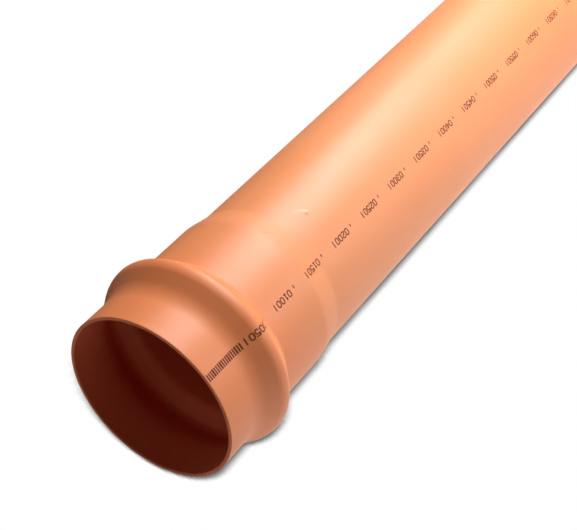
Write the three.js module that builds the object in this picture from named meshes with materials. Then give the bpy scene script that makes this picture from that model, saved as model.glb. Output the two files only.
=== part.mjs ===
// An orange PVC-U drain pipe with a ring-seal socket, lying on a level floor.
// It is one extruded tube: the socket is the same tube, softened and drawn over a mandrel.
// Millimetres, +Z up. The pipe runs along X, with its socket's mouth at the low end.

import * as THREE from 'three';

// The tube, and the length that one pipe adds to a run
const pipeRadius = 160 / 2;
const wall = 3.2;
const layingLength = 1000;

// The socket, from its mouth inwards: a lip, the bead that holds the sealing ring,
// the cylinder that guides the next pipe's spigot, and the cone that stops it
const socketRadius = 84;
const lipLength = 40.5;
const beadRadius = 96;
const beadFront = 61.8;
const beadBack = 70;
const beadFoot = 82.2;
const beadWall = 2.8;
const insertionDepth = 148.5;
const coneEnd = 173;

// The radius of each bend, on the outside of the wall
const lipBend = 36;
const beadFrontBend = 17;
const beadBackBend = 8;
const beadFootBend = 8;
const coneBend = 30;

// The spigot is cut to a chamfer, so that it slides past the next socket's ring
const chamferLength = 7;
const chamferAngle = THREE.MathUtils.degToRad(15);

const pipeLength = layingLength + insertionDepth;
const chamferStart = pipeLength - chamferLength;
const tipRadius = pipeRadius - chamferLength * Math.tan(chamferAngle);

// How finely the solid is faceted: sides round the pipe, and about one facet for each
// stretch of this many degrees in a bend
const sides = 96;
const bendFacet = THREE.MathUtils.degToRad(9);

// A corner of the wall's section. x is the radius and y the distance from the mouth.
function corner(radius, distance, round = 0, thickness = wall) {
  return { at: new THREE.Vector2(radius, distance), round, thickness };
}

// The way from one corner to the next, as a unit vector
function heading(from, to) {
  return to.at.clone().sub(from.at).normalize();
}

// Every corner of a row moved inwards by its thickness, square to the stretches beside it.
// The bend at a corner that flares outwards gets wider by the thickness, the others tighter.
function inner(row) {
  return row.map((bend, i) => {
    const before = heading(row[Math.max(i - 1, 0)], row[Math.max(i, 1)]);
    const after = heading(row[Math.min(i, row.length - 2)], row[Math.min(i + 1, row.length - 1)]);
    const inward = new THREE.Vector2(-before.y - after.y, before.x + after.x);
    inward.multiplyScalar(bend.thickness / (1 + before.dot(after)));
    const wider = before.cross(after) < 0 ? bend.thickness : -bend.thickness;
    const round = bend.round > 0 ? bend.round + wider : 0;
    return { at: bend.at.clone().add(inward), round };
  });
}

// The line through a row of corners, with an arc at each one that is round
function outline(row) {
  const points = [row[0].at];
  for (let i = 1; i < row.length - 1; i += 1) {
    const before = heading(row[i - 1], row[i]);
    const after = heading(row[i], row[i + 1]);
    const turn = Math.atan2(before.cross(after), before.dot(after));
    const reach = row[i].round * Math.tan(Math.abs(turn) / 2);
    const start = row[i].at.clone().addScaledVector(before, -reach);
    const toCentre = new THREE.Vector2(-before.y, before.x).multiplyScalar(Math.sign(turn));
    const centre = start.clone().addScaledVector(toCentre, row[i].round);
    const facets = row[i].round > 0 ? Math.max(2, Math.round(Math.abs(turn) / bendFacet)) : 0;
    points.push(start);
    for (let facet = 1; facet <= facets; facet += 1) {
      points.push(start.clone().rotateAround(centre, (turn * facet) / facets));
    }
  }
  points.push(row[row.length - 1].at);
  return points;
}

// The wall's section, once round: outside from mouth to tip, then inside back to the mouth
const socket = [
  corner(socketRadius, 0),
  corner(socketRadius, lipLength, lipBend),
  corner(beadRadius, beadFront, beadFrontBend, beadWall),
  corner(beadRadius, beadBack, beadBackBend, beadWall),
  corner(socketRadius, beadFoot, beadFootBend),
  corner(socketRadius, insertionDepth, coneBend),
  corner(pipeRadius, coneEnd, coneBend),
];
const chamfer = [corner(pipeRadius, chamferStart), corner(tipRadius, pipeLength)];
const outside = outline([...socket, ...chamfer]);
const inside = outline(inner([...socket, corner(pipeRadius, pipeLength)]));
const section = [...outside, ...inside.reverse(), outside[0].clone()];

// Half a side of turn puts a flat side underneath the pipe, and not an edge
const halfSide = Math.PI / sides;
const orangePvc = new THREE.MeshStandardMaterial({ color: 0xe0874f, roughness: 0.48, metalness: 0 });
const drainPipe = new THREE.Mesh(new THREE.LatheGeometry(section, sides, halfSide), orangePvc);
drainPipe.name = 'drain_pipe';
drainPipe.rotation.z = -Math.PI / 2;

// The bead is wider than the tube, so the pipe lies at a slight slope: on the bead at one
// end, and on the start of the chamfer at the other
const flatShare = Math.cos(halfSide);
const slopes = outside
  .filter((point) => point.y < chamferStart)
  .map((point) => Math.atan2((point.x - pipeRadius) * flatShare, chamferStart - point.y));

const lyingPipe = new THREE.Group();
lyingPipe.add(drainPipe);
lyingPipe.rotation.y = Math.max(...slopes);

// The origin is on the floor, under the middle of the pipe
const extent = new THREE.Box3().setFromObject(lyingPipe, true);
const middle = extent.getCenter(new THREE.Vector3());
lyingPipe.position.set(-middle.x, -middle.y, -extent.min.z);

export default lyingPipe;
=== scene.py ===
import bpy
import math
from mathutils import Matrix, Vector, noise
from mathutils.bvhtree import BVHTree


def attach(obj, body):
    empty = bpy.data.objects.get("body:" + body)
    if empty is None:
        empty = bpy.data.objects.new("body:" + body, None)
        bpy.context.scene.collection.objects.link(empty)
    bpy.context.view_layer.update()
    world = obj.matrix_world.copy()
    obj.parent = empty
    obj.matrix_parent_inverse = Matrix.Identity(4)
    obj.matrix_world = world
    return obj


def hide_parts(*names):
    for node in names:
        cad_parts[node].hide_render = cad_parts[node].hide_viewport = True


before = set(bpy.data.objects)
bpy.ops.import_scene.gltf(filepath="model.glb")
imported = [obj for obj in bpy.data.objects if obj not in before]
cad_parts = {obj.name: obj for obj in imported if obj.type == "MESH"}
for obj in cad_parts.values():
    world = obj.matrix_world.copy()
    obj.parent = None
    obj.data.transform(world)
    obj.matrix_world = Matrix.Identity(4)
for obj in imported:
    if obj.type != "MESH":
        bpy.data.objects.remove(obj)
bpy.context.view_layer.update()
print("frame loaded:", list(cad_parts))

mm = 0.001


# drain pipe, in mm and degrees: a 160 mm tube with a ring-seal socket drawn at one end
pipe = {
    "name": "pvc_drain_pipe",
    "radius": 80.0,
    "wall": 3.2,
    "layingLength": 1000.0,
    "socketRadius": 84.0,
    "lipLength": 40.5,
    "beadRadius": 96.0,
    "beadFront": 61.8,
    "beadBack": 70.0,
    "beadFoot": 82.2,
    "beadWall": 2.8,
    "insertionDepth": 148.5,
    "coneEnd": 173.0,
    "lipBend": 36.0,
    "beadFrontBend": 17.0,
    "beadBackBend": 8.0,
    "beadFootBend": 8.0,
    "coneBend": 30.0,
    "chamferLength": 7.0,
    "chamferAngle": 15.0,
    "mouthEdge": 0.5,        # how far each sawn edge is broken
    "spigotEdge": 0.3,
    "sides": 240,
    "bendFacet": 3.0,        # degrees of bend to one row of faces
    "edgeFacet": 11.0,       # the same on a broken edge
    "rowGap": 22.0,          # longest face along a straight stretch
    "edgeRow": 1.2,          # a row this close to each bend keeps the straight stretch flat
    "rowlessGap": 4.8,       # a straight stretch up to this long has no rows of its own
    "boreEdge": 0.01,        # how far the bore's skin goes round the spigot's inner edge
    "unevenDepth": 0.12,     # the drawn wall wanders by this much
    "unevenLength": 140.0,   # over this far along the pipe
    "unevenAcross": 70.0,    # and this far round it
}
pipe["length"] = pipe["layingLength"] + pipe["insertionDepth"]
pipe["chamferStart"] = pipe["length"] - pipe["chamferLength"]
pipe["chamferDepth"] = pipe["chamferLength"] * math.tan(math.radians(pipe["chamferAngle"]))
pipe["tipRadius"] = pipe["radius"] - pipe["chamferDepth"]

# knocks in the outside: small hollows, longer than they are wide and turned away from the pipe's
# length. Where a knock's glint falls, a painted highlight lightens the plastic by the share given.
knocks = {
    "places": [
        {
            "distance": 204.2, "angle": 17.5, "turn": 38.0,
            "length": 12.0, "width": 5.0, "depth": 0.1, "glint": 0.3,
        },
        {
            "distance": 200.2, "angle": 14.7, "turn": 34.0,
            "length": 18.0, "width": 5.0, "depth": 0.06, "glint": 0.16,
        },
        {
            "distance": 202.0, "angle": 20.0, "turn": 20.0,
            "length": 5.0, "width": 4.0, "depth": 0.9, "glint": 0.0,
        },
        {
            "distance": 156.8, "angle": 10.8, "turn": 42.0,
            "length": 18.0, "width": 3.2, "depth": 0.7, "glint": 0.0,
        },
    ],
    "rowGap": 0.8,           # the mesh is finer through them
    "finerSides": 3,
}


# a corner of the wall's section, at a radius and a distance from the mouth
def corner(radius, distance, bend=0.0, wall=None):
    return {"at": Vector((radius, distance)), "bend": bend, "wall": wall or pipe["wall"]}


def wayBetween(start, end):
    return (end["at"] - start["at"]).normalized()


def crossOf(a, b):
    return a.x * b.y - a.y * b.x


# the same corners moved inwards by the wall
def innerCorners(row):
    moved = []
    for i, here in enumerate(row):
        before = wayBetween(row[max(i - 1, 0)], row[max(i, 1)])
        after = wayBetween(row[min(i, len(row) - 2)], row[min(i + 1, len(row) - 1)])
        inward = Vector((-before.y - after.y, before.x + after.x))
        inward *= here["wall"] / (1 + before.dot(after))
        wider = here["wall"] if crossOf(before, after) < 0 else -here["wall"]
        bend = here["bend"] + wider if here["bend"] > 0 else 0.0
        moved.append({"at": here["at"] + inward, "bend": bend})
    return moved


# points along a row of corners: arcs at the bends, rows of faces along the straights
def outline(row):
    arcs = []
    for i, here in enumerate(row):
        if i in (0, len(row) - 1) or here["bend"] == 0:
            arcs.append([here["at"].copy()])
            continue
        before = wayBetween(row[i - 1], here)
        after = wayBetween(here, row[i + 1])
        turn = math.atan2(crossOf(before, after), before.dot(after))
        start = here["at"] - before * (here["bend"] * math.tan(abs(turn) / 2))
        toCentre = Vector((-before.y, before.x)) * math.copysign(1, turn)
        centre = start + toCentre * here["bend"]
        facet = pipe["bendFacet"] if here["bend"] > pipe["mouthEdge"] else pipe["edgeFacet"]
        count = max(2, round(math.degrees(abs(turn)) / facet))
        spoke = start - centre
        turns = [Matrix.Rotation(turn * k / count, 2) for k in range(count + 1)]
        arcs.append([centre + part @ spoke for part in turns])
    points = list(arcs[0])
    for arc in arcs[1:]:
        start, end = points[-1], arc[0]
        gap = (end - start).length
        if gap > pipe["rowlessGap"]:
            edge = pipe["edgeRow"] / gap
            count = max(1, math.ceil(gap / pipe["rowGap"]))
            shares = [edge + (1 - 2 * edge) * k / count for k in range(1, count)]
            points += [start.lerp(end, share) for share in [edge, *shares, 1 - edge]]
        points += arc
    return points


# the corners of the whole section: the outside from mouth to tip, and the bore back to the mouth.
# Each part starts and ends in the middle of a sawn edge.
def pipeCorners():
    socket = [
        corner(pipe["socketRadius"], pipe["lipLength"], pipe["lipBend"]),
        corner(pipe["beadRadius"], pipe["beadFront"], pipe["beadFrontBend"], pipe["beadWall"]),
        corner(pipe["beadRadius"], pipe["beadBack"], pipe["beadBackBend"], pipe["beadWall"]),
        corner(pipe["socketRadius"], pipe["beadFoot"], pipe["beadFootBend"]),
        corner(pipe["socketRadius"], pipe["insertionDepth"], pipe["coneBend"]),
        corner(pipe["radius"], pipe["coneEnd"], pipe["coneBend"]),
    ]
    mouth = corner(pipe["socketRadius"], 0)
    inside = innerCorners([mouth] + socket + [corner(pipe["radius"], pipe["length"])])
    mouthIn, spigotIn = inside[0]["at"].x, inside[-1]["at"].x
    middle = (pipe["tipRadius"] + spigotIn) / 2
    mouthMiddle = (pipe["socketRadius"] + mouthIn) / 2
    outside = [corner(mouthMiddle, 0), corner(pipe["socketRadius"], 0, pipe["mouthEdge"])] + socket
    outside += [
        corner(pipe["radius"], pipe["chamferStart"], pipe["spigotEdge"]),
        corner(pipe["tipRadius"], pipe["length"], pipe["spigotEdge"]),
        corner(middle, pipe["length"]),
    ]
    back = [corner(middle, pipe["length"]), corner(spigotIn, pipe["length"], pipe["spigotEdge"])]
    back += inside[-2:0:-1]
    back += [corner(mouthIn, 0, pipe["mouthEdge"]), corner(mouthMiddle, 0)]
    return outside, back


# more rows of faces where a knock lies
def withKnockRows(points):
    finer = [points[0]]
    for start, end in zip(points, points[1:]):
        near = any(
            start.y < knock["distance"] + knock["length"] / 2
            and end.y > knock["distance"] - knock["length"] / 2
            for knock in knocks["places"]
        )
        count = max(1, math.ceil((end - start).length / knocks["rowGap"])) if near else 1
        finer += [start.lerp(end, k / count) for k in range(1, count + 1)]
    return finer


# the sides' angles from the pipe's top towards its near side, finer where a knock lies
def sideAngles():
    step = 360 / pipe["sides"]
    angles = []
    for side in range(pipe["sides"]):
        start = side * step
        near = any(
            abs(start + step / 2 - knock["angle"]) < math.degrees(knock["length"] / 2 / pipe["radius"])
            for knock in knocks["places"]
        )
        parts = knocks["finerSides"] if near else 1
        angles += [start + step * k / parts for k in range(parts)]
    return [math.radians(angle) for angle in angles]


# how deep the knocks are at a place on the outside, or how strong their painted highlight is
def knockAt(distance, angle, key):
    total = 0.0
    for knock in knocks["places"]:
        along = distance - knock["distance"]
        around = (angle - math.radians(knock["angle"])) * pipe["radius"]
        turn = math.radians(knock["turn"])
        u = (along * math.cos(turn) + around * math.sin(turn)) / (knock["length"] / 2)
        v = (around * math.cos(turn) - along * math.sin(turn)) / (knock["width"] / 2)
        total += knock[key] * max(0.0, 1 - u * u - v * v) ** 2
    return total


# a drawn tube is never quite even
def unevenness(distance, angle):
    across = pipe["radius"] / pipe["unevenAcross"]
    along = distance / pipe["unevenLength"]
    place = Vector((along, math.cos(angle) * across, math.sin(angle) * across))
    return noise.noise(place) * pipe["unevenDepth"]


# a point on the pipe, from its distance from the mouth, its angle and its radius
def onPipe(distance, angle, radius, outside=True):
    r = radius + unevenness(distance, angle)
    if outside:
        r -= knockAt(distance, angle, "depth")
    return Vector((distance, -r * math.sin(angle), r * math.cos(angle))) * mm


# the pipe lies on its bead and on the start of its chamfer, so it slopes a little
def lyingPlace(section, points):
    slope = max(
        math.atan2(p.x - pipe["radius"], pipe["chamferStart"] - p.y)
        for p in section
        if p.y < pipe["chamferStart"] - pipe["spigotEdge"]
    )
    turned = Matrix.Rotation(slope, 4, "Y")
    lying = [turned @ p for p in points]
    middle = (min(p.x for p in lying) + max(p.x for p in lying)) / 2
    return Matrix.Translation((-middle, 0, -min(p.z for p in lying))) @ turned


# a mesh made from points in the pipe's own frame, which it keeps for its material's patterns
def addMesh(name, points, faces, material, place=Matrix.Identity(4)):
    mesh = bpy.data.meshes.new(name)
    mesh.from_pydata([tuple(place @ p) for p in points], [], faces)
    mesh.materials.append(material)
    own = mesh.attributes.new("pipePlace", "FLOAT_VECTOR", "POINT")
    own.data.foreach_set("vector", [value for p in points for value in p])
    mesh.update()
    made = bpy.data.objects.new(name, mesh)
    bpy.context.scene.collection.objects.link(made)
    return made


# whether the stretch between two points of the section was sawn or chamfered
def isCut(start, end):
    if max(start.y, end.y) < 2 * pipe["mouthEdge"]:
        return True
    cutStart = pipe["chamferStart"] - pipe["spigotEdge"]
    boreEnd = pipe["radius"] - pipe["wall"] + pipe["boreEdge"]
    return min(start.y, end.y) > cutStart and min(start.x, end.x) > boreEnd


# the pipe, with its skin outside, its sawn ends and its bore in materials of their own
def makePipe(skin, sawn, bore):
    finishSlots = {"skin": 0, "sawn": 1, "bore": 2}
    outer, inner = pipeCorners()
    outside = withKnockRows(outline(outer))
    section = outside[:-1] + outline(inner)[:-1]
    angles = sideAngles()
    points = [
        onPipe(p.y, angle, p.x, row < len(outside))
        for angle in angles
        for row, p in enumerate(section)
    ]
    faces, finishes = [], []
    rows = len(section)
    for side in range(len(angles)):
        here, there = side * rows, (side + 1) % len(angles) * rows
        for row in range(rows):
            after = (row + 1) % rows
            faces.append((here + row, there + row, there + after, here + after))
            if isCut(section[row], section[after]):
                finishes.append(finishSlots["sawn"])
            else:
                finishes.append(finishSlots["skin" if row < len(outside) - 1 else "bore"])
    place = lyingPlace(outside, points)
    made = addMesh(pipe["name"], points, faces, skin, place)
    # the share of painted highlight at each point, where the knocks' glint falls
    glint = made.data.attributes.new("knockGlint", "FLOAT", "POINT")
    glint.data.foreach_set("value", [
        knockAt(p.y, angle, "glint") if row < len(outside) else 0.0
        for angle in angles
        for row, p in enumerate(section)
    ])
    made.data.materials.append(sawn)
    made.data.materials.append(bore)
    made.data.polygons.foreach_set("material_index", finishes)
    made.data.polygons.foreach_set("use_smooth", [True] * len(faces))
    print("pipe:", len(points), "points,", len(faces), "faces")
    return made, outside, place


# colours are sRGB hex, turned to the linear values that the shaders take
def hexColour(text):
    parts = [int(text[i:i + 2], 16) / 255 for i in (1, 3, 5)]
    return [p / 12.92 if p <= 0.04045 else ((p + 0.055) / 1.055) ** 2.4 for p in parts] + [1.0]


# adds one node with its settings, and links its inputs where a socket is given
def addNode(tree, kind, settings=None, inputs=None):
    node = tree.nodes.new(kind)
    for key, value in (settings or {}).items():
        setattr(node, key, value)
    for key, value in (inputs or {}).items():
        if isinstance(value, bpy.types.NodeSocket):
            tree.links.new(value, node.inputs[key])
        else:
            node.inputs[key].default_value = value
    return node


def newMaterial(name):
    material = bpy.data.materials.new(name)
    material.use_nodes = True
    material.node_tree.nodes.clear()
    return material, material.node_tree


# how many octaves a noise has, and the range in which nearly all its values lie
softNoise = 2.0
roughNoise = 3.0
noiseRange = (0.3, 0.7)


# noise in the pipe's own frame, with its grain at these sizes in mm along and across the pipe
def pipeNoise(tree, size, detail):
    place = addNode(tree, "ShaderNodeAttribute", {"attribute_name": "pipePlace"}).outputs["Vector"]
    along, across = size
    grain = (1 / (along * mm), 1 / (across * mm), 1 / (across * mm))
    drawn = addNode(tree, "ShaderNodeMapping", None, {"Vector": place, "Scale": grain})
    noiseNode = addNode(tree, "ShaderNodeTexNoise", None, {
        "Vector": drawn.outputs["Vector"], "Scale": 1.0, "Detail": detail,
    })
    return noiseNode.outputs["Fac"]


# a noise's value spread evenly between two others
def spread(tree, value, low, high):
    return addNode(tree, "ShaderNodeMapRange", None, {
        "Value": value,
        "From Min": noiseRange[0],
        "From Max": noiseRange[1],
        "To Min": low,
        "To Max": high,
    }).outputs["Result"]


# extruded PVC-U, brick orange: an even satin skin from the die, which spreads each
# highlight into a soft band, with faint lines along the way it was drawn
orangePvc = {
    "name": "extruded_pvc_orange",
    "colour": "#e48c57",
    "paleColour": "#e89260",
    "knockGlintColour": "#f5d9b4",  # painted highlight: the glint along a knock
    "drawnColour": "#e8844d",  # a shade deeper where the socket was heated and drawn
    "drawnShare": 0.8,
    "drawnEnd": (60.0, 180.0),  # mm from the mouth, between which this fades out
    "roughness": (0.45, 0.51),
    "ior": 1.54,
    # sizes of the patterns in mm, along and across the pipe
    "cloudSize": (180.0, 90.0),  # slow drift of the pigment
    "patchSize": (105.0, 35.0),  # where the skin cooled a little duller
    "lineSize": (420.0, 2.2),    # one line from the die
    "lineDepth": 0.004,
    "grainSize": (0.9, 0.9),     # the fine unevenness of the skin, drawn coarser to show
    "grainDepth": 0.002,
}


def makePvc():
    material, tree = newMaterial(orangePvc["name"])
    cloud = pipeNoise(tree, orangePvc["cloudSize"], softNoise)
    tone = addNode(tree, "ShaderNodeMix", {"data_type": "RGBA"}, {
        "Factor": spread(tree, cloud, 0.0, 1.0),
        "A": hexColour(orangePvc["colour"]),
        "B": hexColour(orangePvc["paleColour"]),
    })
    place = addNode(tree, "ShaderNodeAttribute", {"attribute_name": "pipePlace"}).outputs["Vector"]
    distance = addNode(tree, "ShaderNodeSeparateXYZ", None, {"Vector": place}).outputs["X"]
    start, end = orangePvc["drawnEnd"]
    drawn = addNode(tree, "ShaderNodeMapRange", None, {
        "Value": distance,
        "From Min": start * mm,
        "From Max": end * mm,
        "To Min": orangePvc["drawnShare"],
        "To Max": 0.0,
    })
    deeper = addNode(tree, "ShaderNodeMix", {"data_type": "RGBA"}, {
        "Factor": drawn.outputs["Result"],
        "A": tone.outputs["Result"],
        "B": hexColour(orangePvc["drawnColour"]),
    })
    # painted highlight: the knocks' glint, mixed in as a pale cream
    glintShare = addNode(tree, "ShaderNodeAttribute", {"attribute_name": "knockGlint"})
    withGlint = addNode(tree, "ShaderNodeMix", {"data_type": "RGBA"}, {
        "Factor": glintShare.outputs["Fac"],
        "A": deeper.outputs["Result"],
        "B": hexColour(orangePvc["knockGlintColour"]),
    })
    patches = pipeNoise(tree, orangePvc["patchSize"], roughNoise)
    lines = addNode(tree, "ShaderNodeBump", None, {
        "Height": pipeNoise(tree, orangePvc["lineSize"], roughNoise),
        "Strength": 1.0,
        "Distance": orangePvc["lineDepth"] * mm,
    })
    grain = addNode(tree, "ShaderNodeBump", None, {
        "Height": pipeNoise(tree, orangePvc["grainSize"], softNoise),
        "Strength": 1.0,
        "Distance": orangePvc["grainDepth"] * mm,
        "Normal": lines.outputs["Normal"],
    })
    skin = addNode(tree, "ShaderNodeBsdfPrincipled", None, {
        "Base Color": withGlint.outputs["Result"],
        "Roughness": spread(tree, patches, *orangePvc["roughness"]),
        "IOR": orangePvc["ior"],
        "Normal": grain.outputs["Normal"],
    })
    addNode(tree, "ShaderNodeOutputMaterial", None, {"Surface": skin.outputs["BSDF"]})
    return material


# the same PVC inside the pipe, where no sleeve pressed it smooth as it cooled: duller than the
# outside, and painted a little deeper and redder as shade, so the bore goes a deep even red-brown
borePvc = {
    "name": "extruded_pvc_bore",
    # painted shade: both colours are deeper and redder than the outside's orange
    "colour": "#dc643b",
    "paleColour": "#e26c42",
    "roughness": 0.75,
    "ior": 1.54,
    # sizes of the patterns in mm, along and across the pipe
    "cloudSize": (120.0, 60.0),
    "lineSize": (420.0, 3.0),
    "lineDepth": 0.006,
}


def makeBorePvc():
    material, tree = newMaterial(borePvc["name"])
    cloud = pipeNoise(tree, borePvc["cloudSize"], softNoise)
    tone = addNode(tree, "ShaderNodeMix", {"data_type": "RGBA"}, {
        "Factor": spread(tree, cloud, 0.0, 1.0),
        "A": hexColour(borePvc["colour"]),
        "B": hexColour(borePvc["paleColour"]),
    })
    lines = addNode(tree, "ShaderNodeBump", None, {
        "Height": pipeNoise(tree, borePvc["lineSize"], roughNoise),
        "Strength": 1.0,
        "Distance": borePvc["lineDepth"] * mm,
    })
    skin = addNode(tree, "ShaderNodeBsdfPrincipled", None, {
        "Base Color": tone.outputs["Result"],
        "Roughness": borePvc["roughness"],
        "IOR": borePvc["ior"],
        "Normal": lines.outputs["Normal"],
    })
    addNode(tree, "ShaderNodeOutputMaterial", None, {"Surface": skin.outputs["BSDF"]})
    return material


# the same PVC where a saw cut the mouth and a tool turned the chamfer: torn fine and dull,
# so it stays a flat brownish orange with no highlight, crossed by the saw's marks
sawnPvc = {
    "name": "sawn_pvc_orange",
    "colour": "#d0683a",
    "paleColour": "#e88555",
    "roughness": 0.8,
    "ior": 1.54,
    "markSize": (0.7, 0.7),  # mm, one mark of the saw
    "markDepth": 0.04,       # mm
}


def makeSawnPvc():
    material, tree = newMaterial(sawnPvc["name"])
    sawMarks = pipeNoise(tree, sawnPvc["markSize"], roughNoise)
    tone = addNode(tree, "ShaderNodeMix", {"data_type": "RGBA"}, {
        "Factor": spread(tree, sawMarks, 0.0, 1.0),
        "A": hexColour(sawnPvc["colour"]),
        "B": hexColour(sawnPvc["paleColour"]),
    })
    relief = addNode(tree, "ShaderNodeBump", None, {
        "Height": sawMarks, "Strength": 1.0, "Distance": sawnPvc["markDepth"] * mm,
    })
    skin = addNode(tree, "ShaderNodeBsdfPrincipled", None, {
        "Base Color": tone.outputs["Result"],
        "Roughness": sawnPvc["roughness"],
        "IOR": sawnPvc["ior"],
        "Normal": relief.outputs["Normal"],
    })
    addNode(tree, "ShaderNodeOutputMaterial", None, {"Surface": skin.outputs["BSDF"]})
    return material


# solvent ink, dark brown: it dries thin and dull on the plastic, so some orange shows through
# and warms it
markingInk = {
    "name": "dried_marking_ink",
    "colour": "#5c2615",
    "thinColour": "#7a3a22",
    "roughness": 0.9,
    "ior": 1.5,
    "blotchSize": (4.0, 4.0),  # mm, where the jet ran thinner
}


def makeInk():
    material, tree = newMaterial(markingInk["name"])
    blotch = pipeNoise(tree, markingInk["blotchSize"], softNoise)
    tone = addNode(tree, "ShaderNodeMix", {"data_type": "RGBA"}, {
        "Factor": spread(tree, blotch, 0.0, 1.0),
        "A": hexColour(markingInk["colour"]),
        "B": hexColour(markingInk["thinColour"]),
    })
    skin = addNode(tree, "ShaderNodeBsdfPrincipled", None, {
        "Base Color": tone.outputs["Result"],
        "Roughness": markingInk["roughness"],
        "IOR": markingInk["ior"],
    })
    addNode(tree, "ShaderNodeOutputMaterial", None, {"Surface": skin.outputs["BSDF"]})
    return material


# length marks: an ink-jet scale along the pipe that counts millimetres from the mouth,
# and starts with a block of bars. Sizes are in mm.
marks = {
    "name": "length_marks",
    "angle": 46.9,           # degrees from the pipe's top towards the near side
    "drift": -2.4,           # degrees in a metre, as the line wanders off the pipe's length
    "dotGap": 0.9,
    "dotRadius": 0.7,        # a dot spreads into its neighbours as it dries
    "dotSides": 8,
    "proud": 0.03,           # the ink stands this far above the skin
    "sunk": 0.10,            # and its plate starts this far below
    "rows": 7,
    "columns": 5,
    "stationStep": 50,
    "endGap": 20,            # no station lies nearer to the chamfer than this
    "figures": 4,            # in each number
    "figureStart": 4.0,      # from the station's own line to its number
    "linePlaces": [(0, 7), (30, 3)],  # from the station, and how many dots tall
    # a block of bars at the mouth, evenly ruled as on any scale: one every 2.5 mm, and a wider
    # one every 10 mm
    "barStep": 2.5,
    "barCount": 18,
    "wideBarEvery": 4,
    "barWidth": 1.5,
    "wideBarWidth": 2.0,
    "barFacets": 6,
}

# dotted figures 0 to 9, seven rows of five
dottedFigures = [
    "01110 10001 10001 10001 10001 10001 01110",
    "00100 01100 00100 00100 00100 00100 01110",
    "01110 10001 00001 00110 01000 10000 11111",
    "01110 10001 00001 00110 00001 10001 01110",
    "00010 00110 01010 10010 11111 00010 00010",
    "11111 10000 11110 00001 00001 10001 01110",
    "00110 01000 10000 11110 10001 10001 01110",
    "11111 00001 00010 00100 01000 01000 01000",
    "01110 10001 10001 01110 10001 10001 01110",
    "01110 10001 10001 01111 00001 00010 01100",
]


# places of the dots, as (distance from the mouth, height up the line). The numbers read
# towards the mouth, with their tops to the near side.
def markDots():
    gap, rows, columns = marks["dotGap"], marks["rows"], marks["columns"]
    half = (rows - 1) / 2
    dots = []
    lastEnd = int(pipe["chamferStart"]) - marks["endGap"]
    for station in range(marks["stationStep"], lastEnd, marks["stationStep"]):
        for along, count in marks["linePlaces"]:
            foot = -half if count < rows else -(count - 1) / 2
            dots += [(station + along, (foot + row) * gap) for row in range(count)]
        text = str(station).zfill(marks["figures"])
        for place, figure in enumerate(reversed(text)):
            start = station + marks["figureStart"] + place * (columns + 1) * gap
            for row, line in enumerate(dottedFigures[int(figure)].split()):
                for column, on in enumerate(line):
                    if on == "1":
                        dots.append((start + (columns - 1 - column) * gap, (half - row) * gap))
    return dots


# the bars, as (distance from the mouth, width)
def markBars():
    bars = []
    for bar in range(1, marks["barCount"] + 1):
        width = marks["barWidth" if bar % marks["wideBarEvery"] else "wideBarWidth"]
        bars.append((bar * marks["barStep"], width))
    return bars


# the marks, as thin plates of ink: a round one for each dot and a long one for each bar
def makeMarks(material, outside, place):
    # the pipe's outer radius at a distance from its mouth
    def radiusAt(distance):
        for a, b in zip(outside, outside[1:]):
            if a.y <= distance <= b.y and b.y > a.y:
                return a.x + (b.x - a.x) * (distance - a.y) / (b.y - a.y)
        return pipe["radius"]

    # a point this far above the pipe's skin, at a place on the line
    def onSkin(distance, height, above):
        radius = radiusAt(distance)
        angle = math.radians(marks["angle"] + marks["drift"] * distance * mm) + height / radius
        return onPipe(distance, angle, radius + above)

    points, faces = [], []

    # a thin plate between an upper and a lower ring of points
    def addPlate(ring, across):
        first, count = len(points), len(ring)
        for above in (marks["proud"], -marks["sunk"]):
            points.extend(onSkin(distance, height, above) for distance, height in ring)
        for level, order in ((0, 1), (count, -1)):
            for face in across:
                faces.append(tuple(first + level + k for k in face[::order]))
        for k in range(count):
            n = (k + 1) % count
            faces.append((first + k, first + count + k, first + count + n, first + n))

    sides = marks["dotSides"]
    for distance, height in markDots():
        ring = []
        for side in range(sides):
            turn = -2 * math.pi * side / sides
            ring.append((
                distance + marks["dotRadius"] * math.cos(turn),
                height + marks["dotRadius"] * math.sin(turn),
            ))
        addPlate(ring, [tuple(range(sides))])

    facets = marks["barFacets"]
    tall = (marks["rows"] - 1) * marks["dotGap"] + 2 * marks["dotRadius"]
    for distance, width in markBars():
        heights = [tall * (k / facets - 0.5) for k in range(facets + 1)]
        ring = [(distance - width / 2, height) for height in heights]
        ring += [(distance + width / 2, height) for height in reversed(heights)]
        last = len(ring) - 1
        addPlate(ring, [(k, k + 1, last - k - 1, last - k) for k in range(facets)])

    made = addMesh(marks["name"], points, faces, material, place)
    print("marks:", len(markDots()), "dots,", len(markBars()), "bars")
    return made


# camera: where the mouth's middle lies from it, in metres, and its own angles in degrees
view = {
    "azimuth": -57.2,
    "elevation": 41.93,
    "lens": 85.96,
    "sensor": 36.0,
    "mouthRight": -0.1170,
    "mouthDown": 0.1127,
    "mouthAhead": 1.1572,
    "clip": (0.05, 60.0),
}


def makeCamera(place):
    heading = math.radians(view["azimuth"] + 90)
    tilt = math.radians(view["elevation"])
    level = Vector((math.cos(heading), math.sin(heading), 0))
    ahead = level * math.cos(tilt) - Vector((0, 0, math.sin(tilt)))
    right = Vector((math.sin(heading), -math.cos(heading), 0))
    down = ahead.cross(right)
    data = bpy.data.cameras.new("camera")
    data.lens = view["lens"]
    data.sensor_width = view["sensor"]
    data.clip_start, data.clip_end = view["clip"]
    camera = bpy.data.objects.new("camera", data)
    bpy.context.scene.collection.objects.link(camera)
    mouthMiddle = place @ Vector((0, 0, 0))
    camera.location = (
        mouthMiddle
        - right * view["mouthRight"]
        - down * view["mouthDown"]
        - ahead * view["mouthAhead"]
    )
    camera.rotation_mode = "QUATERNION"
    camera.rotation_quaternion = ahead.to_track_quat("-Z", "Y")
    bpy.context.scene.camera = camera
    print("camera:", view["lens"], "mm lens")
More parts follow.
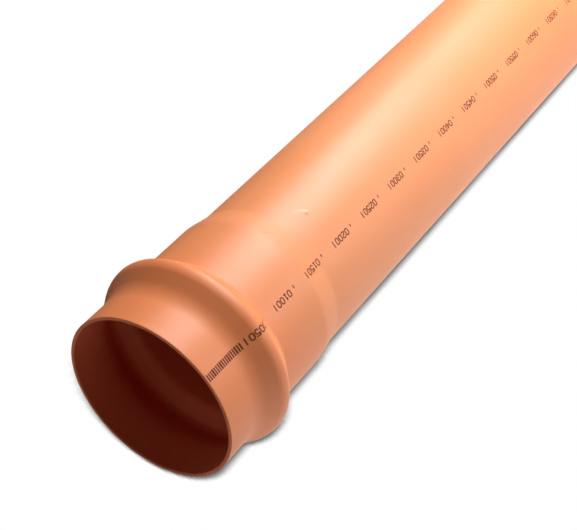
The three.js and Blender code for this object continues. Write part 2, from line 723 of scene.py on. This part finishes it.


# studio: a matt white floor and a low white backdrop all round. Seen straight on or in the
# pipe's sheen they are plain white, apart from a painted shadow of the pipe on the floor.
# In the sheen the floor also fades out beyond a painted pool of light in which the pipe lies.
studio = {
    "floorSize": 14.0,
    "floorColour": "#f5f5f5",
    "shadeColour": "#6e6e6e",
    "shadeLamp": (-1.448, -0.744, 1.621),  # metres, where a small round lamp would stand: its shadow is painted on the floor
    "shadeLampRadius": 0.105,
    "shadeRays": 24,         # rays from each point of the floor to places on that lamp
    "shadeLift": 0.0001,     # metres, so that a ray starts clear of what lies on the floor
    "shadeFade": (0.03, 0.16),  # metres from the pipe, between which the painted shadow fades as other lamps would fill it in
    "shadeLeft": 0.3,        # the share of it that stays beyond that
    # stretches of the floor's mesh along X and Y as (start, end, gap), in metres
    "meshX": [(-0.64, 0.24, 0.0022), (0.24, 0.90, 0.01)],
    "meshY": [(-0.12, 0.03, 0.0022), (0.03, 0.33, 0.01)],
    "poolMiddle": (0.4, -0.2, 0.0),  # metres, and so is its reach
    "poolReach": (1.1, 0.5, 1.0),
    "poolEdge": (0.8, 1.2),  # shares of its reach, between which the pool fades out
    "backdropTop": (0.05, 0.10),  # sines of the heights between which the backdrop fades out
}


# 1 for values up to the first of two ends, falling to 0 at the second
def fadeOut(tree, value, ends):
    return addNode(tree, "ShaderNodeMapRange", None, {
        "Value": value,
        "From Min": ends[0],
        "From Max": ends[1],
        "To Min": 1.0,
        "To Max": 0.0,
    }).outputs["Result"]


# how far off the middle of the pool of light a place on the floor lies, as a share of its reach
def poolShare(tree):
    value = addNode(tree, "ShaderNodeNewGeometry").outputs["Position"]
    for operation, key in (("SUBTRACT", "poolMiddle"), ("DIVIDE", "poolReach"), ("LENGTH", None)):
        inputs = {0: value, 1: studio[key]} if key else {0: value}
        node = addNode(tree, "ShaderNodeVectorMath", {"operation": operation}, inputs)
        value = node.outputs["Vector" if key else "Value"]
    return value


# the larger of two values
def largerOf(tree, a, b):
    return addNode(tree, "ShaderNodeMath", {"operation": "MAXIMUM"}, {0: a, 1: b}).outputs["Value"]


# 1 for a ray that shows the studio straight to the camera, and for one that shows it through
# gloss or glass
def waysSeen(tree):
    path = addNode(tree, "ShaderNodeLightPath").outputs
    return path["Is Camera Ray"], largerOf(tree, path["Is Glossy Ray"], path["Is Transmission Ray"])


# the lines of the floor's mesh along one axis
def floorLines(stretches):
    half = studio["floorSize"] / 2
    lines = [-half, stretches[0][0]]
    for start, end, gap in stretches:
        count = math.ceil((end - start) / gap)
        lines += [start + (end - start) * k / count for k in range(1, count + 1)]
    return lines + [half]


# how much of the round lamp each point of the floor sees past an object, from 0 to 1. A floor that
# is plain white by itself takes no shadow from the lamps, so its mesh keeps this one.
def litShares(points, shading):
    faces = [face.vertices for face in shading.data.polygons]
    tree = BVHTree.FromPolygons([vertex.co for vertex in shading.data.vertices], faces)
    lamp = Vector(studio["shadeLamp"])
    turned = lamp.to_track_quat("Z", "Y")
    goldenAngle = math.pi * (3 - math.sqrt(5))  # spreads the rays evenly over the lamp
    targets = []
    for ray in range(studio["shadeRays"]):
        spoke = studio["shadeLampRadius"] * math.sqrt((ray + 0.5) / studio["shadeRays"])
        angle = ray * goldenAngle
        targets.append(lamp + turned @ Vector((spoke * math.cos(angle), spoke * math.sin(angle), 0)))
    near, far = studio["shadeFade"]
    shares = []
    for point in points:
        start = point + Vector((0, 0, studio["shadeLift"]))
        hidden = sum(tree.ray_cast(start, target - start)[0] is not None for target in targets)
        filled = min(max((tree.find_nearest(point)[3] - near) / (far - near), 0), 1)
        shares.append(1 - hidden / len(targets) * (1 - filled * (1 - studio["shadeLeft"])))
    return shares


def makeFloor(shading):
    material, tree = newMaterial("matt_white_floor")
    matt = addNode(tree, "ShaderNodeBsdfDiffuse", None, {"Color": hexColour(studio["floorColour"])})
    shade = addNode(tree, "ShaderNodeMix", {"data_type": "RGBA"}, {
        "Factor": addNode(tree, "ShaderNodeAttribute", {"attribute_name": "lit"}).outputs["Fac"],
        "A": hexColour(studio["shadeColour"]),
        "B": (1, 1, 1, 1),
    })
    straight, inGloss = waysSeen(tree)
    pool = fadeOut(tree, poolShare(tree), studio["poolEdge"])
    seen = addNode(tree, "ShaderNodeEmission", None, {
        "Color": shade.outputs["Result"], "Strength": largerOf(tree, straight, pool),
    })
    both = addNode(tree, "ShaderNodeMixShader", None, {
        0: largerOf(tree, straight, inGloss),
        1: matt.outputs["BSDF"],
        2: seen.outputs["Emission"],
    })
    addNode(tree, "ShaderNodeOutputMaterial", None, {"Surface": both.outputs["Shader"]})
    xs, ys = floorLines(studio["meshX"]), floorLines(studio["meshY"])
    points = [Vector((x, y, 0)) for x in xs for y in ys]
    faces = []
    for i in range(len(xs) - 1):
        for k in range(len(ys) - 1):
            first = i * len(ys) + k
            faces.append((first, first + len(ys), first + len(ys) + 1, first + 1))
    floor = addMesh("floor", points, faces, material)
    lit = floor.data.attributes.new("lit", "FLOAT", "POINT")
    lit.data.foreach_set("value", litShares(points, shading))
    print("floor:", len(points), "points")


def makeWorld():
    world = bpy.data.worlds.new("studio")
    bpy.context.scene.world = world
    world.use_nodes = True
    tree = world.node_tree
    tree.nodes.clear()
    straight, inGloss = waysSeen(tree)
    place = addNode(tree, "ShaderNodeTexCoord").outputs["Generated"]
    height = addNode(tree, "ShaderNodeSeparateXYZ", None, {"Vector": place}).outputs["Z"]
    mirrored = addNode(tree, "ShaderNodeMath", {"operation": "MULTIPLY"}, {
        0: inGloss,
        1: fadeOut(tree, height, studio["backdropTop"]),
    })
    sky = addNode(tree, "ShaderNodeBackground", None, {
        "Color": (1, 1, 1, 1), "Strength": largerOf(tree, straight, mirrored.outputs["Value"]),
    })
    addNode(tree, "ShaderNodeOutputWorld", None, {"Surface": sky.outputs["Background"]})


# soft boxes: where each stands, what it points at, its size in metres and its power in watts
lamps = [
    {
        "name": "wideBox", "at": (0.53, -0.05, 1.2), "to": (0.02, -0.05, 0.1),
        "size": (1.2, 0.6), "power": 14.8,
    },
    {
        "name": "longStrip", "at": (0.6, 0.2, 1.25), "to": (0.5, 0.12, 0.1),
        "size": (0.4, 1.8), "power": 21.2,
    },
    {
        "name": "rightBox", "at": (0.35, -1.2, 0.72), "to": (0.06, 0, 0.08),
        "size": (0.8, 0.5), "power": 8.3,
    },
    {
        "name": "frontBox", "at": (-2.0, 0.3, 0.85), "to": (-0.4, 0, 0.1),
        "size": (2.4, 1.0), "power": 3.3,
    },
]


def makeLamps():
    for lamp in lamps:
        data = bpy.data.lights.new(lamp["name"], "AREA")
        data.shape = "RECTANGLE"
        data.size, data.size_y = lamp["size"]
        data.energy = lamp["power"]
        made = bpy.data.objects.new(lamp["name"], data)
        bpy.context.scene.collection.objects.link(made)
        made.location = lamp["at"]
        made.rotation_mode = "QUATERNION"
        towards = Vector(lamp["to"]) - Vector(lamp["at"])
        made.rotation_quaternion = towards.to_track_quat("-Z", "Y")
    print("lamps:", [lamp["name"] for lamp in lamps])


bpy.context.scene.view_settings.view_transform = "Standard"

drainPipe, outside, place = makePipe(makePvc(), makeSawnPvc(), makeBorePvc())
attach(drainPipe, "root")
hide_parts("drain_pipe")

lengthMarks = makeMarks(makeInk(), outside, place)
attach(lengthMarks, "root")

makeCamera(place)
makeFloor(drainPipe)
makeWorld()
makeLamps()
